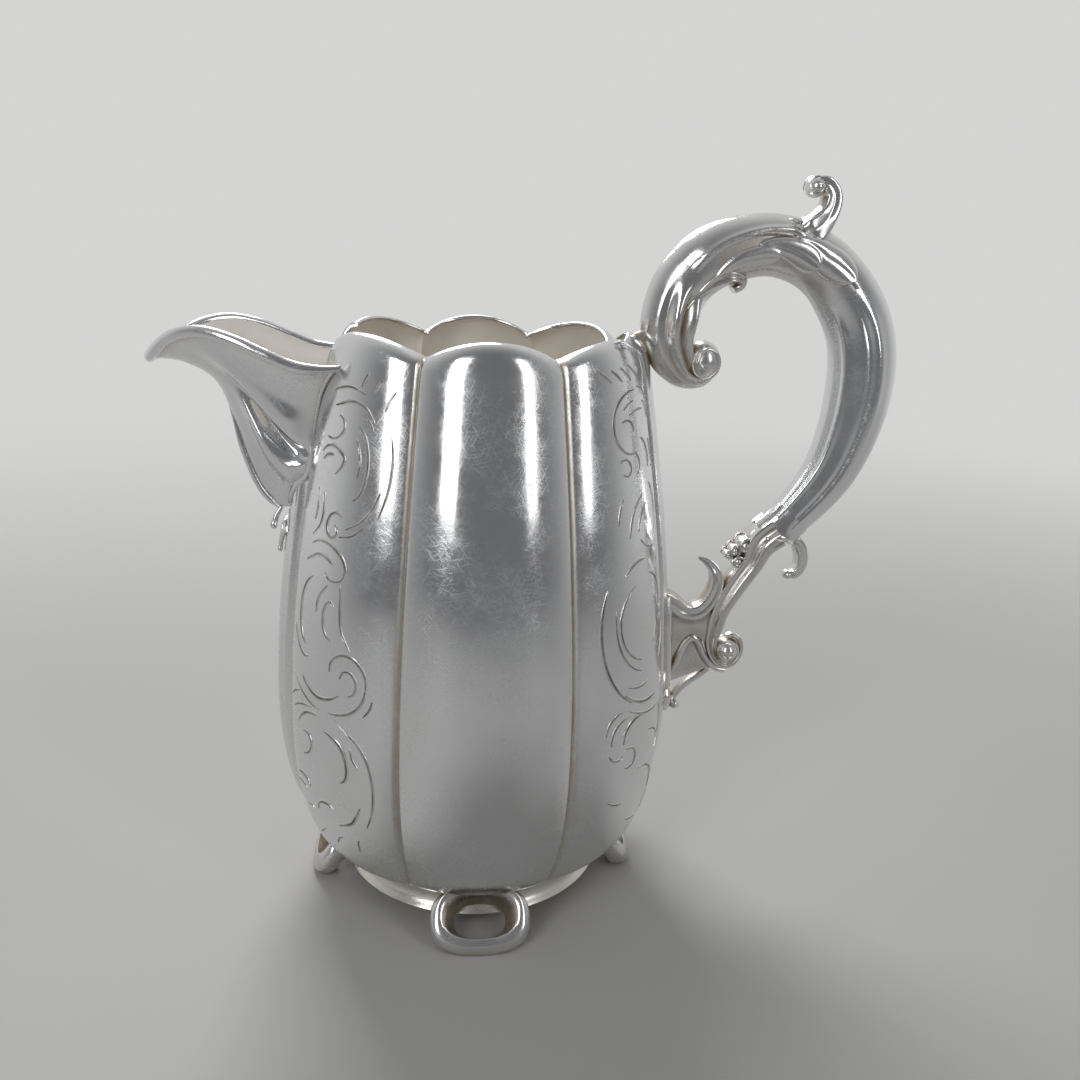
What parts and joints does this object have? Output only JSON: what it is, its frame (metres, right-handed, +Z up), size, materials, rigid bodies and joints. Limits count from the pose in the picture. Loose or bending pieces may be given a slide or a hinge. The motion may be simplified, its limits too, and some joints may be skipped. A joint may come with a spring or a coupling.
{
  "type": "milk jug",
  "caption": "Lobed plated milk jug with a helmet spout, scalloped rim, cast scroll handle and loop feet, for serving milk at the table.",
  "frame": {"origin": "middle of the jug's box at the level of the surface it stands on: the flat pads of the feet lie at z = 0", "axes": "+Z up, +X towards the handle, -X towards the spout, -Y towards the plain front lobe"},
  "size_m": [0.1632, 0.0888, 0.1621],
  "materials": {
    "plated_shell": "polished plate with fine swirl scratches",
    "plated_base": "worn plate, warm where tarnish and base metal show",
    "plated_cast": "cast plate, bright on the ridges and tarnished in the recesses"
  },
  "bodies": {
    "root": {"body_front_half": "plated_shell", "body_back_half": "plated_shell", "spout": "plated_shell", "spout_edge_wire": "plated_shell", "spout_drop": "plated_shell", "handle_grip": "plated_shell", "base_disc": "plated_base", "base_collar": "plated_base", "foot_front": "plated_cast", "foot_handle": "plated_cast", "foot_back": "plated_cast", "foot_spout": "plated_cast", "handle_upper_mount": "plated_cast", "upper_leaf_sleeve": "plated_cast", "handle_inner_leaf": "plated_cast", "thumb_scroll": "plated_cast", "lower_leaf_sleeve": "plated_cast", "lower_bracket": "plated_cast", "lower_wall_plate": "plated_cast"}
  },
  "joints": []
}
